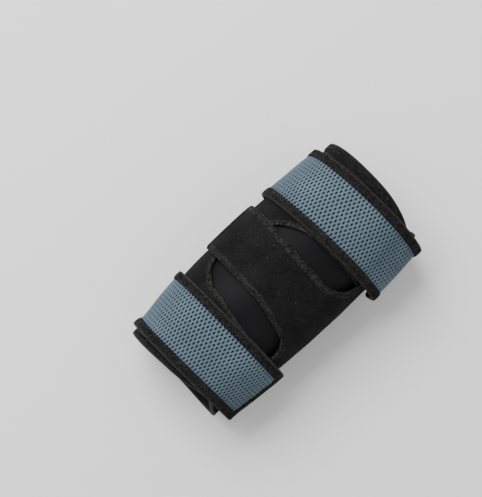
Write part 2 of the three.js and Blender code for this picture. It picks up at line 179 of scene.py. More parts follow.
def cloth(name, rows, columns, at, under, wall, closed=False, filled=None, edge=0.0):
    """A sheet of cloth laid round the brace. at(row, column) gives x and turn, under(x, turn) the lift of
    its lower face, and a cell that is not filled is a hole. The cut edges are rounded by edge mm."""
    verts, uvs = [], []
    for i in range(rows + 1):
        for j in range(columns + 1):
            x, turn = at(i, j)
            lift = under(x, turn)
            verts += [over_hollow(x, turn, lift), over_hollow(x, turn, lift + wall)]
            uvs += 2 * [(x, turn * CLOTH_MM_PER_DEGREE)]

    def inner(i, j):
        return 2 * ((i % rows if closed else i) * (columns + 1) + j)

    def outer(i, j):
        return inner(i, j) + 1

    def there(i, j):
        if j < 0 or j >= columns or (not closed and (i < 0 or i >= rows)):
            return False
        return filled is None or filled(i % rows, j)

    faces = []
    for i in range(rows):
        for j in range(columns):
            if not there(i, j):
                continue
            faces.append((outer(i, j), outer(i, j + 1), outer(i + 1, j + 1), outer(i + 1, j)))
            faces.append((inner(i, j), inner(i + 1, j), inner(i + 1, j + 1), inner(i, j + 1)))
            if not there(i, j - 1):
                faces.append((outer(i, j), outer(i + 1, j), inner(i + 1, j), inner(i, j)))
            if not there(i, j + 1):
                faces.append((outer(i + 1, j + 1), outer(i, j + 1), inner(i, j + 1), inner(i + 1, j + 1)))
            if not there(i - 1, j):
                faces.append((outer(i, j + 1), outer(i, j), inner(i, j), inner(i, j + 1)))
            if not there(i + 1, j):
                faces.append((outer(i + 1, j), outer(i + 1, j + 1), inner(i + 1, j + 1), inner(i + 1, j)))
    used = sorted({v for face in faces for v in face})
    place = {old: new for new, old in enumerate(used)}
    faces = [tuple(place[v] for v in face) for face in faces]
    piece = finished(name, [verts[v] for v in used], faces, [uvs[v] for v in used])
    if edge:
        bevel = piece.modifiers.new("rounded cut edges", "BEVEL")
        bevel.width = edge / 1000
        bevel.segments = 3
        bevel.limit_method = "ANGLE"
        bevel.angle_limit = SHARPEST_ROUNDED
    return piece


def linear(hex_colour):
    """A shader's colour from an sRGB hex value."""
    parts = [int(hex_colour[i:i + 2], 16) / 255 for i in (1, 3, 5)]
    return tuple(p / 12.92 if p <= 0.04045 else ((p + 0.055) / 1.055) ** 2.4 for p in parts) + (1,)


def node(tree, kind, settings=None, **inputs):
    """Adds a node with its settings. An input, by name or as i and its number, is a value or another
    node's output."""
    made = tree.nodes.new(kind)
    for key, value in (settings or {}).items():
        setattr(made, key, value)
    for key, value in inputs.items():
        by_number = key[0] == "i" and key[1:].isdigit()
        socket = made.inputs[int(key[1:]) if by_number else key.replace("_", " ")]
        if isinstance(value, bpy.types.NodeSocket):
            tree.links.new(value, socket)
        else:
            socket.default_value = value
    return made


def new_material(name, roughness, gloss, sheen=0.0):
    """A fabric's shader: little gloss, and a soft sheen where its fibres stand up."""
    material = bpy.data.materials.new(name)
    material.use_nodes = True
    shader = material.node_tree.nodes["Principled BSDF"]
    shader.inputs["Roughness"].default_value = roughness
    shader.inputs["Specular IOR Level"].default_value = gloss
    shader.inputs["Sheen Weight"].default_value = sheen
    shader.inputs["Sheen Roughness"].default_value = 0.6
    return material, material.node_tree, shader


def grain(tree, scale, detail, roughness=0.5):
    place = node(tree, "ShaderNodeTexCoord").outputs["Object"]
    made = node(tree, "ShaderNodeTexNoise", Vector=place, Scale=scale, Detail=detail, Roughness=roughness)
    return made.outputs["Fac"]


def lengths(tree):
    return node(tree, "ShaderNodeUVMap", {"uv_map": "UVMap"}).outputs["UV"]


def ridges(tree, pitch, distortion, detail):
    """Ridges a pitch in mm apart by the piece's own lengths."""
    return node(
        tree, "ShaderNodeTexWave", {"wave_type": "BANDS", "bands_direction": "X"},
        Vector=lengths(tree), Scale=math.tau / (20 * pitch), Distortion=distortion, Detail=detail,
    ).outputs["Fac"]


def blend(tree, share, a, b):
    return node(tree, "ShaderNodeMix", {"data_type": "FLOAT"}, Factor=share, A=a, B=b).outputs["Result"]


def two_tones(tree, value, start, end, dark, light):
    """The colour that goes from dark to light as the value goes from start to end."""
    made = node(tree, "ShaderNodeValToRGB", Fac=value)
    for stop, place, colour in zip(made.color_ramp.elements, (start, end), (dark, light)):
        stop.position, stop.color = place, linear(colour)
    return made.outputs["Color"]


def laid_over(tree, share, under, colour):
    return node(tree, "ShaderNodeMix", {"data_type": "RGBA"}, i0=share, i6=under, i7=linear(colour)).outputs[2]


def coloured(tree, shader, colour):
    tree.links.new(colour, shader.inputs["Base Color"])


def raised(tree, shader, height, strength, distance):
    relief = node(tree, "ShaderNodeBump", Strength=strength, Distance=distance, Height=height)
    tree.links.new(relief.outputs["Normal"], shader.inputs["Normal"])


def dress(piece, material, slot, *nodes_replaced):
    piece.data.materials.clear()
    piece.data.materials.append(material)
    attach(piece, "root")
    if nodes_replaced:
        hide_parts(*nodes_replaced)


# Neoprene foam with a smooth jersey knit bonded to it: an even, dark face with a faint bluish light,
# broken only by the fine courses of the knit and slow changes where it was stretched
NEOPRENE_KNIT_MM = 1.1
neoprene, tree, shader = new_material("jersey_faced_neoprene", 0.6, 0.1, 0.02)
coloured(tree, shader, two_tones(tree, grain(tree, 38.0, 3.0), 0.3, 0.75, "#0c0c0e", "#141416"))
raised(tree, shader, ridges(tree, NEOPRENE_KNIT_MM, 1.5, 2.0), 0.12, 0.0002)

RIM_TAPE_WIDTH, RIM_TAPE = 9.0, 0.8
FOLD_GAP = 0.45
round_turns = spread(-180, 180, 2.5)
sleeve_shares = spread(0, 1, 1 / 90)


def forearm_rim(turn):
    return SLEEVE_LENGTH * forearm_drawn_back(turn)


def upper_rim(turn):
    return SLEEVE_LENGTH * (1 - upper_drawn_back(turn))


# Each rim puckers outwards where the strap closes over it
PUCKER_FOREARM, PUCKER_UPPER = 3.8, 2.2
PUCKER_TURN, PUCKER_HALF = -94, 24
PUCKER_FADES = (3, 19, 17)


def pucker(x, turn):
    share = min(1, abs(turn - PUCKER_TURN) / PUCKER_HALF)
    start, end, reach = PUCKER_FADES
    near = min(1, max(0, (end - x) / (end - start)))
    far = min(1, max(0, (x - SLEEVE_LENGTH + reach) / reach))
    return math.cos(share * math.pi / 2) ** 2 * (PUCKER_FOREARM * near + PUCKER_UPPER * far)


def on_sleeve(row, column):
    turn = round_turns[row]
    start = forearm_rim(turn) + RIM_TAPE + FOLD_GAP
    end = upper_rim(turn) - RIM_TAPE - FOLD_GAP
    return mix(start, end, sleeve_shares[column]), turn


sleeve = cloth(
    "sleeve_neoprene", len(round_turns) - 1, len(sleeve_shares) - 1, on_sleeve,
    pucker, SLEEVE_WALL, closed=True,
)
dress(sleeve, neoprene, "neoprene", "inner_sleeve")

# Rim bindings: woven tape folded over each cut end of the sleeve and sewn through with one row of
# thread. The fold makes a firm round lip, and the thread pulls a shallow groove along its inner side.
TAPE_RIB_MM = 1.1
LIP_HIGHLIGHT_MM = 1.0
tape, tree, shader = new_material("woven_edge_tape", 0.85, 0.1, 0.03)
weave = blend(tree, 0.85, ridges(tree, TAPE_RIB_MM, 1.2, 1.5), grain(tree, 520.0, 4.0, 0.7))
woven = two_tones(tree, blend(tree, 0.2, weave, grain(tree, 120.0, 3.0)), 0.42, 0.6, "#070708", "#212122")
# Painted highlight: the tape is coloured lighter along the round lip of its fold, fully within 1 mm of the fold
# and fading out by 2 mm
inset = node(tree, "ShaderNodeSeparateXYZ", Vector=lengths(tree)).outputs["Y"]
lip = node(
    tree, "ShaderNodeMapRange", Value=inset, From_Min=LIP_HIGHLIGHT_MM, From_Max=2 * LIP_HIGHLIGHT_MM, To_Min=0.3, To_Max=0.0
)
coloured(tree, shader, laid_over(tree, lip.outputs["Result"], woven, "#464543"))
raised(tree, shader, weave, 0.6, 0.0006)


def folded_tape(width, thickness, tape_thickness):
    """The section of a tape folded round a sheet: how far in from the fold, and the lift."""
    whole = thickness + 2 * (FOLD_GAP + tape_thickness)
    radius = whole / 2
    outside = [(width, 0), (mix(radius, width, 0.5), 0), (radius, 0)]
    for step in range(1, 8):
        angle = math.pi * step / 8
        outside.append((radius - radius * 0.92 * math.sin(angle) ** 0.8, radius - radius * math.cos(angle)))
    outside += [(radius, whole), (radius + 0.7, whole - 0.32), (radius + 1.5, whole - 0.02)]
    outside += [(mix(radius + 1.5, width, 0.5), whole + 0.12), (width - 0.3, whole), (width, whole - 0.25)]
    low, high = tape_thickness, whole - tape_thickness
    inside = [(width, high), (radius + 0.4, high), (tape_thickness + 0.1, mix(low, high, 0.7))]
    inside += [(tape_thickness + 0.1, mix(low, high, 0.3)), (radius + 0.4, low), (width, low)]
    return outside + inside


FOLD_INSIDE_CORNERS, FOLD_INSIDE_MM = 6, 20


def swept(name, steps, profile, point):
    """A closed section carried round a closed path. The fold's inside has lengths of its own."""
    corners = len(profile)
    verts, uvs, faces = [], [], []
    for step in range(steps):
        for corner in range(corners):
            place, run = point(step, corner)
            verts.append(place)
            within = corner >= corners - FOLD_INSIDE_CORNERS
            uvs.append((run, profile[corner][0] + FOLD_INSIDE_MM * within))
            here, ahead, beside = step * corners, (step + 1) % steps * corners, (corner + 1) % corners
            faces.append((here + corner, here + beside, ahead + beside, ahead + corner))
    return finished(name, verts, faces, uvs)


def outside_out(piece):
    build = bmesh.new()
    build.from_mesh(piece.data)
    bmesh.ops.recalc_face_normals(build, faces=build.faces)
    if build.calc_volume(signed=True) < 0:
        bmesh.ops.reverse_faces(build, faces=build.faces)
    build.to_mesh(piece.data)
    build.free()


# Sewing thread: 0.5 mm polyester, spun and slightly fuzzy, a shade lighter than the cloth it holds
thread, tree, shader = new_material("spun_polyester_thread", 0.8, 0.12)
worn = blend(tree, 0.6, grain(tree, 900.0, 2.0), grain(tree, 480.0, 2.0))
coloured(tree, shader, two_tones(tree, worn, 0.4, 0.62, "#0e0e0f", "#3a3937"))


def open_tree(name, sockets):
    """A geometry node tree that takes a mesh and the named inputs, and gives a mesh."""
    tree = bpy.data.node_groups.new(name, "GeometryNodeTree")
    for label, kind in [("Geometry", "Geometry")] + sockets:
        tree.interface.new_socket(label, in_out="INPUT", socket_type="NodeSocket" + kind)
    tree.interface.new_socket("Geometry", in_out="OUTPUT", socket_type="NodeSocketGeometry")
    return tree, node(tree, "NodeGroupInput"), node(tree, "NodeGroupOutput")


def maths(tree, operation, a, b):
    return node(tree, "ShaderNodeMath", {"operation": operation}, i0=a, i1=b).outputs[0]


def worked(mesh, tree, values):
    """The plain mesh that a geometry node tree makes of a mesh."""
    holder = linked(mesh.name, mesh)
    modifier = holder.modifiers.new(tree.name, "NODES")
    modifier.node_group = tree
    for socket in tree.interface.items_tree:
        if socket.in_out == "INPUT" and socket.name in values:
            modifier[socket.identifier] = values[socket.name]
    bpy.context.view_layer.update()
    made = bpy.data.meshes.new_from_object(holder.evaluated_get(bpy.context.evaluated_depsgraph_get()))
    bpy.data.objects.remove(holder)
    return made


def sewing(name, strokes):
    """A node tree that sews along a line of edges. Its strokes are the threads of one stitch, each from
    a start over a middle to an end: shares of the pitch along the line, and mm across and up."""
    tree, given, result = open_tree(name, [
        ("Stitch Pitch", "Float"), ("Thread Radius", "Float"), ("Thread", "Material"), ("Unevenness", "Float"),
        ("Seed", "Int"),
    ])
    line = node(tree, "GeometryNodeMeshToCurve", i0=given.outputs["Geometry"])
    places = node(
        tree, "GeometryNodeResampleCurve", {"mode": "LENGTH"},
        Curve=line.outputs["Curve"], Length=given.outputs["Stitch Pitch"],
    )
    up = node(tree, "GeometryNodeInputNamedAttribute", {"data_type": "FLOAT_VECTOR"}, Name="up")
    ahead = node(tree, "GeometryNodeInputTangent")
    turned = node(tree, "FunctionNodeAlignRotationToVector", {"axis": "Z"}, Vector=up.outputs["Attribute"])
    turned = node(
        tree, "FunctionNodeAlignRotationToVector", {"axis": "X", "pivot_axis": "Z"},
        Rotation=turned.outputs["Rotation"], Vector=ahead.outputs["Tangent"],
    )
    round_thread = node(
        tree, "GeometryNodeCurvePrimitiveCircle", Resolution=5, Radius=given.outputs["Thread Radius"]
    )
    stitch = node(tree, "GeometryNodeJoinGeometry")
    for stroke in strokes:
        ends = []
        for share, across, height in stroke:
            run = maths(tree, "MULTIPLY", given.outputs["Stitch Pitch"], share)
            ends.append(node(tree, "ShaderNodeCombineXYZ", X=run, Y=across / 1000, Z=height / 1000))
        bow = node(
            tree, "GeometryNodeCurveQuadraticBezier", Resolution=4,
            Start=ends[0].outputs[0], Middle=ends[1].outputs[0], End=ends[2].outputs[0],
        )
        strand = node(
            tree, "GeometryNodeCurveToMesh", Curve=bow.outputs["Curve"],
            Profile_Curve=round_thread.outputs["Curve"], Fill_Caps=True,
        )
        tree.links.new(strand.outputs["Mesh"], stitch.inputs["Geometry"])
    least = maths(tree, "SUBTRACT", 0.0, given.outputs["Unevenness"])
    askew = node(
        tree, "FunctionNodeRandomValue", {"data_type": "FLOAT"}, i2=least, i3=given.outputs["Unevenness"],
        Seed=given.outputs["Seed"],
    )
    slanted = node(
        tree, "FunctionNodeRotateRotation", {"rotation_space": "LOCAL"}, Rotation=turned.outputs["Rotation"],
        Rotate_By=node(tree, "ShaderNodeCombineXYZ", Z=askew.outputs[1]).outputs[0],
    )
    pulled = maths(tree, "ADD", askew.outputs[1], 1.0)
    sewn = node(
        tree, "GeometryNodeInstanceOnPoints", Points=places.outputs["Curve"],
        Instance=stitch.outputs["Geometry"], Rotation=slanted.outputs["Rotation"],
        Scale=node(tree, "ShaderNodeCombineXYZ", X=1.0, Y=pulled, Z=1.0).outputs[0],
    )
    real = node(tree, "GeometryNodeRealizeInstances", Geometry=sewn.outputs["Instances"])
    threads = node(
        tree, "GeometryNodeSetMaterial", Geometry=real.outputs["Geometry"], Material=given.outputs["Thread"]
    )
    smooth = node(tree, "GeometryNodeSetShadeSmooth", i0=threads.outputs["Geometry"])
    tree.links.new(smooth.outputs[0], result.inputs["Geometry"])
    return tree


# Threads under the brace are pressed into their tape, and nothing of it dips into the floor
PRESSED_THREAD = 1.05
PRESSED_FROM, PRESSED_BY = -0.55, -0.9
FLOOR_CLEARANCE = 0.00003
SEED = 7


def sew(name, tree, lines, pitch, thread_radius, unevenness=0.04):
    """Sews along lines of (x, turn, lift), lengths in mm, and leaves a plain mesh of the threads."""
    verts, ups, edges = [], [], []
    for line in lines:
        first = len(verts)
        for x, turn, lift in line:
            up = outwards(x, turn)
            pressed = PRESSED_THREAD * ramp(PRESSED_FROM, PRESSED_BY, up.z)
            verts.append(over_hollow(x, turn, lift - pressed))
            ups.append(up)
        edges += [(i, i + 1) for i in range(first, len(verts) - 1)]
    mesh = bpy.data.meshes.new(name + "_line")
    mesh.from_pydata(verts, edges, [])
    mesh.attributes.new("up", "FLOAT_VECTOR", "POINT").data.foreach_set("vector", [c for u in ups for c in u])
    sewn = worked(mesh, tree, {
        "Stitch Pitch": pitch / 1000, "Thread Radius": thread_radius / 1000, "Thread": thread,
        "Unevenness": unevenness, "Seed": SEED,
    })
    for vertex in sewn.vertices:
        vertex.co.z = max(vertex.co.z, FLOOR_CLEARANCE)
    piece = linked(name, sewn)
    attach(piece, "root")
    return piece


lockstitch = sewing("lockstitch", [[(-0.4, 0, -0.15), (0, 0, 0.45), (0.4, 0, -0.15)]])
overcast = sewing("overcast", [
    [(-0.5, -3.1, -0.15), (-0.1, 0, 0.5), (0.35, 3.1, -0.15)],
    [(0.0, -2.7, -0.15), (0.3, 0.2, 0.42), (0.8, 2.8, -0.15)],
])
zigzag = sewing("zigzag", [
    [(-0.5, -1.0, -0.12), (-0.25, 0, 0.42), (0, 1.0, -0.12)],
    [(0, 1.0, -0.12), (0.25, 0, 0.42), (0.5, -1.0, -0.12)],
])
rim_tape_turns = spread(-180, 180, 1.5)
RIM_STITCH_PITCH, OVERCAST_PITCH = 3.0, 2.3
RIM_STITCH_INSET, RIM_OVERCAST_AT = 1.6, 4.4
RIM_THREAD = 0.26
RIM_PULL = 0.12


def rim_binding(name, rim_at, inwards, replaced):
    profile = folded_tape(RIM_TAPE_WIDTH, SLEEVE_WALL, RIM_TAPE)
    steps = len(rim_tape_turns) - 1
    lowest = -RIM_TAPE - FOLD_GAP

    def point(step, corner):
        turn = rim_tape_turns[step]
        inset, lift = profile[corner]
        pull = RIM_PULL * math.cos(math.tau * step / 2)
        x = rim_at(turn) + inwards * inset
        lift += lowest + pull * (inset > 2) + pucker(x, turn)
        return over_hollow(x, turn, lift), turn * RIM_MM_PER_DEGREE

    piece = swept(name, steps, profile, point)
    outside_out(piece)
    dress(piece, tape, "edge_tape", replaced)
    top = lowest + SLEEVE_WALL + 2 * (FOLD_GAP + RIM_TAPE) + RIM_PULL
    for label, stitch, across, pitch in [
        ("_stitches", lockstitch, RIM_TAPE_WIDTH - RIM_STITCH_INSET, RIM_STITCH_PITCH),
        ("_overcast", overcast, RIM_OVERCAST_AT, OVERCAST_PITCH),
    ]:
        line = []
        for turn in rim_tape_turns:
            x = rim_at(turn) + inwards * across
            line.append((x, turn, top + pucker(x, turn)))
        sew(name + label, stitch, [line], pitch, RIM_THREAD, 0.1)


rim_binding("forearm_rim_tape", forearm_rim, 1, "forearm_rim_binding")
rim_binding("upper_arm_rim_tape", upper_rim, -1, "upper_arm_rim_binding")

# Straps: where they lie. Each is sewn on behind, runs round the back, over the front and down to its
# bound free end, and stands off a little at the side where it closes over its hook tab.
STRAP_TAPE_WIDTH, STRAP_TAPE = 8.0, 0.6
STRAP_ROOT_TURN = 210
STRAP_CORNER = 3.0
TAB_THICKNESS, TAB_INSET = 1.2, 5.5
TAB_START, TAB_END = -70, -126
STRAPS = {
    "forearm_strap": {
        "width": 58, "middle": 37.1, "skew": 2.2, "end": -82, "flare": 1.8, "slack": (3.5, 0),
    },
    "upper_arm_strap": {
        "width": 58, "middle": 187.2, "skew": 3.8, "end": -104, "flare": 0, "slack": (5.2, 3.7),
    },
}
SLACK_MIDDLE, SLACK_HALF, FLARE_TURN = -84, 32, 18
ONTO_TONGUE, ONTO_TAB = (-50, -12), (-68, -46)
PANEL_INSET = 13


def strap_middle(strap, turn):
    return strap["middle"] - strap["skew"] * math.sin(math.radians(turn))


def closing_slack(strap, x, turn):
    share = min(1, abs(turn - SLACK_MIDDLE) / SLACK_HALF)
    across = min(1, max(0, (x - strap_middle(strap, turn)) / strap["width"] + 0.5))
    flare = strap["flare"] * (1 - ramp(strap["end"], strap["end"] + FLARE_TURN, turn))
    return math.cos(share * math.pi / 2) ** 2 * (mix(*strap["slack"], across) + flare)


def strap_lift(strap, x, turn):
    over_tongue = (TONGUE_WALL + LAYER_GAP) * (1 - ramp(*ONTO_TONGUE, turn))
    over_tab = (TAB_THICKNESS + LAYER_GAP) * (1 - ramp(*ONTO_TAB, turn))
    return ON_PANEL + over_tongue + over_tab + closing_slack(strap, x, turn)


def panel_from(turn):
    strap = STRAPS["forearm_strap"]
    return strap_middle(strap, turn) - strap["width"] / 2 + PANEL_INSET


def panel_to(turn):
    strap = STRAPS["upper_arm_strap"]
    return strap_middle(strap, turn) + strap["width"] / 2 - PANEL_INSET


# Outer panel: a second layer whose face is brushed loop pile, so that the hooks grip anywhere. A long
# oval window is cut out in front, and its edge is overlocked in grey-black thread.
WINDOW_LENGTH, TONGUE_MIDDLE, TONGUE_WIDTH = 94.0, 116.5, 50.0
WINDOW_ROOT, WINDOW_TIP = -72, 62
# turn, then how far the window's two long edges lie from the tongue's middle, as shares of its length
WINDOW = [
    (-72, 0.512, 0.452), (-36, 0.518, 0.456), (-18, 0.523, 0.45), (0, 0.505, 0.437), (18, 0.473, 0.396),
    (36, 0.453, 0.291), (45, 0.405, 0.19), (54, 0.34, 0.115), (62, 0.165, 0.035),
]
window_forearm = curve_through(WINDOW, 1)
window_upper = curve_through(WINDOW, 2)


def window_from(turn):
    return TONGUE_MIDDLE - WINDOW_LENGTH * window_forearm(turn)


def window_to(turn):
    return TONGUE_MIDDLE + WINDOW_LENGTH * window_upper(turn)


# Loop fabric: a warp knit whose pile of fine nylon loops is brushed up. It eats light, shows no thread,
# and has a matt, felted grain with a few specks of lint that catch the light.
LOOP_GRAIN_MM = 1.6
LINT_MM = 1.8
loop_fabric, tree, shader = new_material("brushed_nylon_loop", 0.95, 0.035, 0.012)
nap = grain(tree, 1000 / LOOP_GRAIN_MM, 5.0, 0.7)
pile = two_tones(tree, blend(tree, 0.35, nap, grain(tree, 45.0, 3.0)), 0.35, 0.68, "#0e0e0f", "#242425")
lint = two_tones(tree, grain(tree, 1000 / LINT_MM, 1.0), 0.74, 0.82, "#000000", "#ffffff")
coloured(tree, shader, laid_over(tree, lint, pile, "#4a4a48"))
raised(tree, shader, nap, 0.6, 0.0006)

panel_turns = spread(-180, WINDOW_ROOT, 3) + spread(WINDOW_ROOT, WINDOW_TIP, 2)[1:]
panel_turns += spread(WINDOW_TIP, 180, 3)[1:]
PANEL_SIDE, PANEL_WINDOW = 18, 24
window_root_row, window_tip_row = panel_turns.index(WINDOW_ROOT), panel_turns.index(WINDOW_TIP)


def on_panel(row, column):
    turn = panel_turns[row]
    share = (column - PANEL_SIDE) / PANEL_WINDOW
    left, right = window_from(turn), window_to(turn)
    if share < 0:
        return mix(panel_from(turn), left, column / PANEL_SIDE), turn
    if share > 1:
        return mix(right, panel_to(turn), (column - PANEL_SIDE - PANEL_WINDOW) / PANEL_SIDE), turn
    return mix(left, right, share), turn


def panel_is_there(row, column):
    if column < PANEL_SIDE or column >= PANEL_SIDE + PANEL_WINDOW:
        return True
    return row < window_root_row or row >= window_tip_row


panel = cloth(
    "outer_panel_cloth", len(panel_turns) - 1, 2 * PANEL_SIDE + PANEL_WINDOW, on_panel,
    lambda x, turn: PANEL_LIFT, PANEL_WALL, closed=True, filled=panel_is_there, edge=0.9,
)
dress(panel, loop_fabric, "loop_fabric", "outer_panel")


# Overlock: each stitch throws three slanting threads over the edge and chains them on the face. More
# strands lie close along the edge as a smooth bead, which is broad at the window.
def overlock_strokes(width):
    return [
        [(-0.5, 0.2, -0.6), (-0.1, width / 2, 0.55), (0.35, width, 0.05)],
        [(0.0, 0.2, -0.6), (0.4, width / 2, 0.5), (0.85, width - 0.5, 0.05)],
        [(0.5, 0.2, -0.6), (0.2, width / 2, 0.45), (-0.35, width - 0.2, 0.05)],
        [(-0.5, width - 0.3, 0.05), (0, width, 0.25), (0.5, width - 0.3, 0.05)],
    ]


def bead_strokes(width):
    strands = [(-0.12, -0.6), (-0.05, -0.15)]
    strands += [(across, 0.2 + 0.1 * across) for across in spread(0.2, width, 0.4)]
    return [
        [(-0.52, across, height), (0, across, height + 0.06), (0.52, across, height)]
        for across, height in strands
    ]


OVERLOCK_PITCH, OVERLOCK_THREAD = 1.3, 0.25
OVERLOCK_UNEVEN, BEAD_UNEVEN = 0.06, 0.03


def edge_stitches(name, overlock, bead, edge):
    sew(name + "_overlock", overlock, [edge], OVERLOCK_PITCH, OVERLOCK_THREAD, OVERLOCK_UNEVEN)
    sew(name + "_bead", bead, [edge], 2 * OVERLOCK_PITCH, OVERLOCK_THREAD, BEAD_UNEVEN)


tongue_stitch = sewing("overlock", overlock_strokes(5.0))
tongue_lip = sewing("edge_bead", bead_strokes(0.6))
window_stitch = sewing("narrow_overlock", overlock_strokes(4.2))
window_lip = sewing("broad_edge_bead", bead_strokes(1.8))
panel_face = PANEL_LIFT + PANEL_WALL
edge_turns = spread(WINDOW_ROOT, WINDOW_TIP, 1.5)
window_edge = [(window_from(turn), turn, panel_face) for turn in edge_turns]
window_edge += [(window_to(turn), turn, panel_face) for turn in reversed(edge_turns)]
edge_stitches("window", window_stitch, window_lip, window_edge)

# Tongue wrap: another layer of loop fabric, sewn on behind. It comes round the side, and its two
# shoulders are cut back in quarter curves to the tongue that crosses the window and grips the panel.
TONGUE_ROOT, TONGUE_END = -135, 84
TONGUE_DIP = 2.1
FOREARM_FILLET = (-40, -54.4, 16)
FOREARM_FLARE, FLARE_START = 8.2, -3
UPPER_FILLET = (-27, -63.5, 25)
WAIST, WAIST_FROM, WAIST_TO = 2.4, -5, 60
TONGUE_CORNER, CORNER_TURN = 3, 6
DIPS, RISES = (-52, -38), (24, 40)


def fillet_reach(fillet, turn):
    start, end, reach = fillet
    share = min(1, max(0, (start - turn) / (start - end)))
    return reach * (1 - math.sqrt(1 - share * share))


def tongue_half(turn):
    return TONGUE_WIDTH / 2 - TONGUE_CORNER * ramp(TONGUE_END - CORNER_TURN, TONGUE_END, turn)


def tongue_from(turn):
    flare = FOREARM_FLARE * min(1, max(0, (FLARE_START - turn) / (FLARE_START - FOREARM_FILLET[1])))
    return TONGUE_MIDDLE - tongue_half(turn) - flare - fillet_reach(FOREARM_FILLET, turn)


def tongue_to(turn):
    waist = WAIST * (1 - ramp(WAIST_FROM, WAIST_TO, turn))
    return TONGUE_MIDDLE + tongue_half(turn) - waist + fillet_reach(UPPER_FILLET, turn)


def tongue_lift(x, turn):
    return ON_PANEL - TONGUE_DIP * ramp(*DIPS, turn) * (1 - ramp(*RISES, turn))


upper_end, forearm_end = UPPER_FILLET[1], FOREARM_FILLET[1]
# the turns past which each shoulder's curve is gentle
FOREARM_GENTLE, UPPER_GENTLE = -48, -56
tongue_turns = spread(TONGUE_ROOT, upper_end, 2.5)
for start, end, step in [
    (upper_end, forearm_end, 0.9), (forearm_end, FOREARM_GENTLE, 0.6),
    (FOREARM_GENTLE, TONGUE_END - CORNER_TURN, 2), (TONGUE_END - CORNER_TURN, TONGUE_END, 1),
]:
    tongue_turns += spread(start, end, step)[1:]
SHOULDER, TONGUE_COLUMNS = 18, 30
upper_row, forearm_row = tongue_turns.index(upper_end), tongue_turns.index(forearm_end)


def on_tongue(row, column):
    turn = tongue_turns[row]
    along = column - SHOULDER
    if along < 0:
        return mix(panel_from(turn), tongue_from(turn), column / SHOULDER), turn
    if along <= TONGUE_COLUMNS:
        return mix(tongue_from(turn), tongue_to(turn), along / TONGUE_COLUMNS), turn
    return mix(tongue_to(turn), panel_to(turn), (along - TONGUE_COLUMNS) / SHOULDER), turn


def tongue_is_there(row, column):
    if column < SHOULDER:
        return row < forearm_row
    return column < SHOULDER + TONGUE_COLUMNS or row < upper_row


tongue = cloth(
    "tongue_wrap_cloth", len(tongue_turns) - 1, 2 * SHOULDER + TONGUE_COLUMNS, on_tongue,
    tongue_lift, TONGUE_WALL, filled=tongue_is_there, edge=0.9,
)
dress(tongue, loop_fabric, "loop_fabric", "tongue_wrap")


def on_tongue_face(x, turn):
    return x, turn, tongue_lift(x, turn) + TONGUE_WALL


# where the edge goes under each strap
UNDER_FOREARM_STRAP, UNDER_UPPER_STRAP = 40, 185
edge_turns = spread(forearm_end, FOREARM_GENTLE, 0.4) + spread(FOREARM_GENTLE, TONGUE_END, 1.5)[1:]
tongue_edge = [on_tongue_face(tongue_from(turn), turn) for turn in reversed(edge_turns)]
shoulder_edge = [on_tongue_face(x, forearm_end) for x in spread(tongue_from(forearm_end), UNDER_FOREARM_STRAP, 2)]
edge_turns = spread(upper_end, UPPER_GENTLE, 0.5) + spread(UPPER_GENTLE, TONGUE_END, 1.5)[1:]
far_edge = [on_tongue_face(tongue_to(turn), turn) for turn in edge_turns]
far_shoulder = [on_tongue_face(x, upper_end) for x in spread(UNDER_UPPER_STRAP, tongue_to(upper_end), 2)]
end_edge = [on_tongue_face(x, TONGUE_END) for x in spread(tongue_to(TONGUE_END), tongue_from(TONGUE_END), 2)]
whole_edge = far_shoulder + far_edge[1:] + end_edge[1:] + tongue_edge[1:] + shoulder_edge[1:]
edge_stitches("tongue", tongue_stitch, tongue_lip, whole_edge)

# Strap pads: spacer mesh, two knitted faces held apart by a pile of springy threads. The upper face is
# an open net of ovals in half-drop rows, and through them shows the dark, blue-tinted ground below.
HOLE_ROW, HOLE_STEP = 3.4, 4.05
HOLE_LENGTH, HOLE_WIDTH = 2.5, 1.4
HOLE_INTERLOCK = 0.55
NET_DEPTH = 1.0
net_yarn, tree, shader = new_material("spacer_mesh_net", 0.8, 0.15, 0.02)
yarn = grain(tree, 900.0, 3.0)
dyed = blend(tree, 0.4, yarn, grain(tree, 30.0, 2.0))
coloured(tree, shader, two_tones(tree, dyed, 0.3, 0.7, "#465661", "#63747f"))
raised(tree, shader, yarn, 0.4, 0.0003)

# The ground is coloured far darker than the net's yarn and lies in shade under the net; the same colour on the
# holes' walls is painted shade
ground_and_hole_shade, tree, shader = new_material("spacer_mesh_ground_and_hole_shade", 0.9, 0.05)
coloured(tree, shader, two_tones(tree, grain(tree, 700.0, 2.0), 0, 1, "#0b161d", "#182a34"))


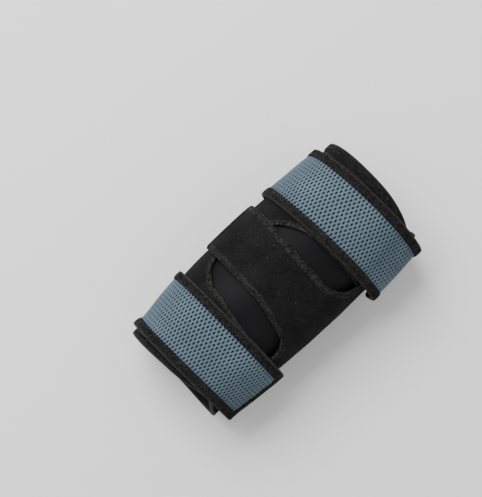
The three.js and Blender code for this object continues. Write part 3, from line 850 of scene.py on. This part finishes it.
def knit_cell():
    """One hole of the net with the yarn round it, flat, in mm: a six-sided piece that meets its
    neighbours on the crest of the yarn, and falls to the hole, with the hole's wall and a flat back."""
    half_x, half_y = HOLE_ROW / 2, HOLE_STEP / 2
    wide, narrow = half_x + HOLE_INTERLOCK, half_x - HOLE_INTERLOCK
    border = [
        (wide, 0), (half_x, half_y / 2), (narrow, half_y), (0, half_y), (-narrow, half_y), (-half_x, half_y / 2),
    ]
    border += [(-x, -y) for x, y in border]
    rings = [(None, 0.0), (1.38, -0.04), (1.12, -0.2), (1.0, -0.5), (1.0, -NET_DEPTH), (None, -NET_DEPTH)]
    verts, faces = [], []
    for size, height in rings:
        for x, y in border:
            if size is None:
                verts.append((x, y, height))
                continue
            angle = math.atan2(y / half_y, x / half_x)
            verts.append((
                HOLE_LENGTH / 2 * size * math.cos(angle), HOLE_WIDTH / 2 * size * math.sin(angle), height
            ))
    count = len(border)
    for ring in range(len(rings) - 1):
        for i in range(count):
            j = (i + 1) % count
            faces.append((ring * count + i, ring * count + j, (ring + 1) * count + j, (ring + 1) * count + i))
    mesh = bpy.data.meshes.new("knit_cell")
    mesh.from_pydata(verts, [], faces)
    # The faces from each hole's lip down its wall and across the back are flagged, to be coloured as painted shade
    inside = mesh.attributes.new("in_hole", "BOOLEAN", "FACE")
    inside.data.foreach_set("value", [i // count >= 2 for i in range(len(faces))])
    return mesh


def net_tree():
    """Lays one cell in half-drop rows, joined edge to edge."""
    tree, given, result = open_tree("half_drop_net", [
        ("Rows", "Int"), ("Holes", "Int"), ("Row Pitch", "Float"), ("Hole Pitch", "Float"),
        ("Yarn", "Material"), ("Ground", "Material"),
    ])

    def size(count, pitch):
        return maths(tree, "MULTIPLY", maths(tree, "SUBTRACT", given.outputs[count], 1.0), given.outputs[pitch])

    across = size("Rows", "Row Pitch")
    seats = node(
        tree, "GeometryNodeMeshGrid", Vertices_X=given.outputs["Rows"], Vertices_Y=given.outputs["Holes"],
        Size_X=across, Size_Y=size("Holes", "Hole Pitch"),
    )
    where = node(tree, "ShaderNodeSeparateXYZ", Vector=node(tree, "GeometryNodeInputPosition").outputs[0])
    from_side = maths(tree, "ADD", where.outputs["X"], maths(tree, "MULTIPLY", across, 0.5))
    row = maths(tree, "ROUND", maths(tree, "DIVIDE", from_side, given.outputs["Row Pitch"]), 0.0)
    half_pitch = maths(tree, "MULTIPLY", given.outputs["Hole Pitch"], 0.5)
    drop = maths(tree, "MULTIPLY", maths(tree, "MODULO", row, 2.0), half_pitch)
    dropped = node(
        tree, "GeometryNodeSetPosition", Geometry=seats.outputs["Mesh"],
        Offset=node(tree, "ShaderNodeCombineXYZ", Y=drop).outputs[0],
    )
    laid = node(
        tree, "GeometryNodeInstanceOnPoints", Points=dropped.outputs["Geometry"],
        Instance=given.outputs["Geometry"],
    )
    real = node(tree, "GeometryNodeRealizeInstances", Geometry=laid.outputs["Instances"])
    joined = node(tree, "GeometryNodeMergeByDistance", Geometry=real.outputs["Geometry"], Distance=0.02)
    dyed_yarn = node(
        tree, "GeometryNodeSetMaterial", Geometry=joined.outputs["Geometry"], Material=given.outputs["Yarn"]
    )
    # Painted shade: the flagged faces down each hole's wall take the dark ground's material instead of the yarn's
    inside = node(tree, "GeometryNodeInputNamedAttribute", {"data_type": "BOOLEAN"}, Name="in_hole")
    painted_hole_shade = node(
        tree, "GeometryNodeSetMaterial", Geometry=dyed_yarn.outputs["Geometry"],
        Selection=inside.outputs["Attribute"], Material=given.outputs["Ground"],
    )
    tree.links.new(painted_hole_shade.outputs["Geometry"], result.inputs["Geometry"])
    return tree


half_drop_net = net_tree()


def flat_net(rows, holes):
    """A flat piece of the net in mm, as one closed mesh."""
    mesh = worked(knit_cell(), half_drop_net, {
        "Rows": rows, "Holes": holes, "Row Pitch": HOLE_ROW, "Hole Pitch": HOLE_STEP,
        "Yarn": net_yarn, "Ground": ground_and_hole_shade,
    })
    build = bmesh.new()
    build.from_mesh(mesh)
    nearly = 0.05

    def spot(vertex):
        return round(vertex.co.x, 1), round(vertex.co.y, 1)

    below = {spot(v): v for v in build.verts if v.co.z < nearly - NET_DEPTH}
    for border in [e for e in build.edges if e.is_boundary and all(v.co.z > -nearly for v in e.verts)]:
        a, b = border.verts
        try:
            build.faces.new((a, b, below[spot(b)], below[spot(a)]))
        except (KeyError, ValueError):
            continue
    bmesh.ops.recalc_face_normals(build, faces=build.faces)
    build.to_mesh(mesh)
    build.free()
    return mesh


# Each strap's pad, cut from that net on a dark ground, and its edge tape folded over all four sides
# with rounded corners, sewn through with a row of zigzag along the tape's inner edge
def strap_outline(strap, inset, radius, per_degree):
    """The strap's edge, or a line inside it, as pairs of x and turn."""
    half = strap["width"] / 2 - inset
    low, high = strap["end"] + inset * per_degree, STRAP_ROOT_TURN - inset * per_degree
    clear = (STRAP_TAPE_WIDTH + 1) * per_degree
    sides = spread(strap["end"] + clear, STRAP_ROOT_TURN - clear, 0.8)
    ends = [-0.8, -0.4, 0, 0.4, 0.8]
    points = [(strap_middle(strap, turn) - half, turn) for turn in sides]

    def corner(side, turn, inwards, backwards):
        for step in range(9):
            angle = (8 - step if backwards else step) / 8 * math.pi / 2
            along = turn + inwards * radius * (1 - math.sin(angle)) * per_degree
            across = half - radius * (1 - math.cos(angle))
            points.append((strap_middle(strap, along) + side * across, along))

    def end(turn, shares):
        reach = half - radius
        for share in shares:
            points.append((strap_middle(strap, turn) + share * reach, turn))

    corner(-1, high, -1, False)
    end(high, ends)
    corner(1, high, -1, True)
    points.extend((strap_middle(strap, turn) + half, turn) for turn in reversed(sides))
    corner(1, low, 1, False)
    end(low, ends[::-1])
    corner(-1, low, 1, True)
    return points


# At the back the section is flattened, so that equal turns are unequal lengths of strap there. The
# net is laid by length on that stretch.
BACK_TURN = 95
back_turns = spread(BACK_TURN, STRAP_ROOT_TURN, 1)
back_places = [over_hollow(TONGUE_MIDDLE, turn, ON_PANEL + STRAP_THICKNESS / 2) for turn in back_turns]
back_run = [0]
for before, after in zip(back_places, back_places[1:]):
    back_run.append(back_run[-1] + (after - before).length)


def laid_by_length(turn):
    if turn <= BACK_TURN:
        return turn
    length = back_run[-1] * min(1, (turn - BACK_TURN) / (STRAP_ROOT_TURN - BACK_TURN))
    i = min(bisect.bisect_right(back_run, length), len(back_run) - 1)
    return mix(back_turns[i - 1], back_turns[i], (length - back_run[i - 1]) / (back_run[i] - back_run[i - 1]))


TAPE_BITE, TAPE_PULL = 0.8, 0.1
STRAP_STITCH_PITCH, STRAP_STITCH_INSET, STRAP_OVERCAST_AT = 2.6, 1.6, 3.8
STRAP_THREAD = 0.25
INNER_CORNER = 0.8
PAD_MARGIN, PAD_TAPER = 2.0, 5
NET_CROWN, CROWN_FROM, CROWN_TO = 0.55, 12, 2
for name, strap in STRAPS.items():
    per_degree = math.degrees(1 / (HOLLOW_WIDTH / 2 + ON_TONGUE + STRAP_THICKNESS))
    edge = strap_outline(strap, 0, STRAP_CORNER, per_degree)
    inner = strap_outline(strap, STRAP_TAPE_WIDTH, INNER_CORNER, per_degree)
    profile = folded_tape(STRAP_TAPE_WIDTH, STRAP_THICKNESS - 2 * (STRAP_TAPE + FOLD_GAP), STRAP_TAPE)
    run = [0]
    for (x0, t0), (x1, t1) in zip(edge, edge[1:]):
        run.append(run[-1] + math.hypot(x1 - x0, (t1 - t0) / per_degree))

    def tape_point(step, corner):
        inset, lift = profile[corner]
        bite = TAPE_BITE * math.cos(math.tau * run[step] / HOLE_STEP) * ramp(6, STRAP_TAPE_WIDTH, inset)
        share = (inset + bite) / STRAP_TAPE_WIDTH
        x, turn = (mix(a, b, share) for a, b in zip(edge[step], inner[step]))
        pull = TAPE_PULL * math.cos(math.tau * run[step] / 3) * (inset > 3) * (lift > 2)
        spot = over_hollow(x, turn, strap_lift(strap, x, turn) + lift + pull)
        spot.z = max(spot.z, FLOOR_CLEARANCE)
        return spot, run[step]

    binding = swept(name + "_tape", len(edge), profile, tape_point)
    outside_out(binding)
    dress(binding, tape, "edge_tape", name + "_binding")
    for label, stitch, inset, pitch in [
        ("_stitches", zigzag, STRAP_TAPE_WIDTH - STRAP_STITCH_INSET, STRAP_STITCH_PITCH),
        ("_overcast", overcast, STRAP_OVERCAST_AT, OVERCAST_PITCH),
    ]:
        line = []
        for (x0, t0), (x1, t1) in zip(edge + edge[:1], inner + inner[:1]):
            x, turn = mix(x0, x1, inset / STRAP_TAPE_WIDTH), mix(t0, t1, inset / STRAP_TAPE_WIDTH)
            line.append((x, turn, strap_lift(strap, x, turn) + STRAP_THICKNESS + TAPE_PULL))
        sew(name + label, stitch, [line], pitch, STRAP_THREAD, 0.1)

    low, high = strap["end"] + PAD_MARGIN * per_degree, STRAP_ROOT_TURN - PAD_MARGIN * per_degree
    inset = STRAP_TAPE + FOLD_GAP
    half = strap["width"] / 2 - inset - 0.2
    pad_turns = spread(low, high, 3)
    pad_shares = spread(-1, 1, 1 / 12)

    def on_pad(row, column):
        turn = pad_turns[row]
        near_end = min(turn - low, high - turn) / (PAD_TAPER * per_degree)
        width = half - PAD_TAPER * (1 - min(1, near_end))
        return strap_middle(strap, turn) + width * pad_shares[column], turn

    ground_wall = STRAP_THICKNESS - 2 * inset - NET_DEPTH - 0.1
    pad = cloth(
        name + "_ground", len(pad_turns) - 1, len(pad_shares) - 1, on_pad,
        lambda x, turn: strap_lift(strap, x, turn) + inset + 0.02, ground_wall, edge=0.3,
    )
    dress(pad, ground_and_hole_shade, "spacer_mesh")

    length = (high - low) / per_degree
    holes = int((length - 6) / HOLE_STEP)
    rows = int((2 * half - 1.0) / HOLE_ROW)
    net = linked(name + "_net", flat_net(rows, holes))
    for vertex in net.data.vertices:
        across, along, height = vertex.co
        turn = laid_by_length((low + high) / 2 + along * per_degree)
        x = strap_middle(strap, turn) + across
        crown = NET_CROWN * (1 - ramp(half - CROWN_FROM, half - CROWN_TO, abs(across)))
        top = strap_lift(strap, x, turn) + STRAP_THICKNESS - inset - 0.05 + crown
        vertex.co = over_hollow(x, turn, top + height)
    outside_out(net)
    net.data.shade_smooth()
    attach(net, "root")
    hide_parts(name + "_pad")

# Hook tabs: a strip of moulded hook tape under each strap's free end. Its smooth woven back shows beyond
# the strap, where it grips the loop fabric at the back.
hook_back, tree, shader = new_material("hook_tape_back", 0.7, 0.15)
weave = grain(tree, 600.0, 3.0)
coloured(tree, shader, two_tones(tree, weave, 0, 1, "#101010", "#2a2a2a"))
raised(tree, shader, weave, 0.4, 0.0003)

TAB_TAPER_TURN, TAB_TAPER = 5, 2.5
for name, strap in STRAPS.items():
    tab_turns = spread(TAB_END, TAB_START, 2)
    half = strap["width"] / 2 - TAB_INSET
    tab_shares = spread(-1, 1, 1 / 12)

    def on_tab(row, column):
        turn = tab_turns[row]
        near_end = min(1, (turn - TAB_END) / TAB_TAPER_TURN)
        return strap_middle(strap, turn) + (half - TAB_TAPER * (1 - near_end) ** 2) * tab_shares[column], turn

    tab = cloth(
        name + "_hook_strip", len(tab_turns) - 1, len(tab_shares) - 1, on_tab,
        lambda x, turn: ON_TONGUE + closing_slack(strap, x, turn), TAB_THICKNESS, edge=0.35,
    )
    dress(tab, hook_back, "hook_tape", name + "_hook_tab")

# Floor: a plain pale surface that runs out of view
FLOOR_SIZE = 6.0
floor_mesh = bpy.data.meshes.new("floor")
corners = [(-1, -1), (1, -1), (1, 1), (-1, 1)]
floor_mesh.from_pydata([(x * FLOOR_SIZE / 2, y * FLOOR_SIZE / 2, 0) for x, y in corners], [], [(0, 1, 2, 3)])
floor = linked("floor", floor_mesh)
paper, tree, shader = new_material("matt_white_paper", 0.9, 0.2)
shader.inputs["Base Color"].default_value = linear("#ffffff")
floor_mesh.materials.append(paper)

# Light: a broad soft source from the tongue's end of the brace, and a weaker one opposite
for label, place, size, power in [
    ("key_light", (0.1, 0.95, 1.25), 1.0, 31),
    ("fill_light", (0.5, -1.1, 1.2), 1.5, 2.4),
]:
    lamp = bpy.data.lights.new(label, "AREA")
    lamp.size = size
    lamp.energy = power
    light = linked(label, lamp)
    light.location = place
    light.rotation_euler = Vector(place).to_track_quat("Z", "Y").to_euler()
world = bpy.data.worlds.new("studio")
world.use_nodes = True
sky = world.node_tree.nodes["Background"]
sky.inputs["Color"].default_value = (1, 1, 1, 1)
sky.inputs["Strength"].default_value = 0.6
bpy.context.scene.world = world

# Camera: above the brace, looking down on its face as the photograph does, with the brace running
# from the lower left to the upper right
CAMERA_HEIGHT = 1.23
VIEW_HEIGHT = 0.405
LOOK_AT = Vector((-0.0011, 0.0414, 0.045))
CAMERA_FOOT_X = -0.0733
TILT_ON_SHEET = math.radians(42.56)
camera_data = bpy.data.cameras.new("camera")
camera = linked("camera", camera_data)
camera.location = Vector((CAMERA_FOOT_X, LOOK_AT.y, LOOK_AT.z + CAMERA_HEIGHT))
backwards = (camera.location - LOOK_AT).normalized()
along_brace = Vector((1, 0, 0))
along_brace = (along_brace - backwards * along_brace.dot(backwards)).normalized()
across_brace = backwards.cross(along_brace)
right = along_brace * math.cos(TILT_ON_SHEET) - across_brace * math.sin(TILT_ON_SHEET)
upwards = backwards.cross(right)
turned = camera.matrix_world.to_3x3()
for row in range(3):
    turned[row][0], turned[row][1], turned[row][2] = right[row], upwards[row], backwards[row]
camera.rotation_euler = turned.to_euler()
camera_data.sensor_fit = "VERTICAL"
camera_data.angle = 2 * math.atan(VIEW_HEIGHT / 2 / CAMERA_HEIGHT)
bpy.context.scene.camera = camera
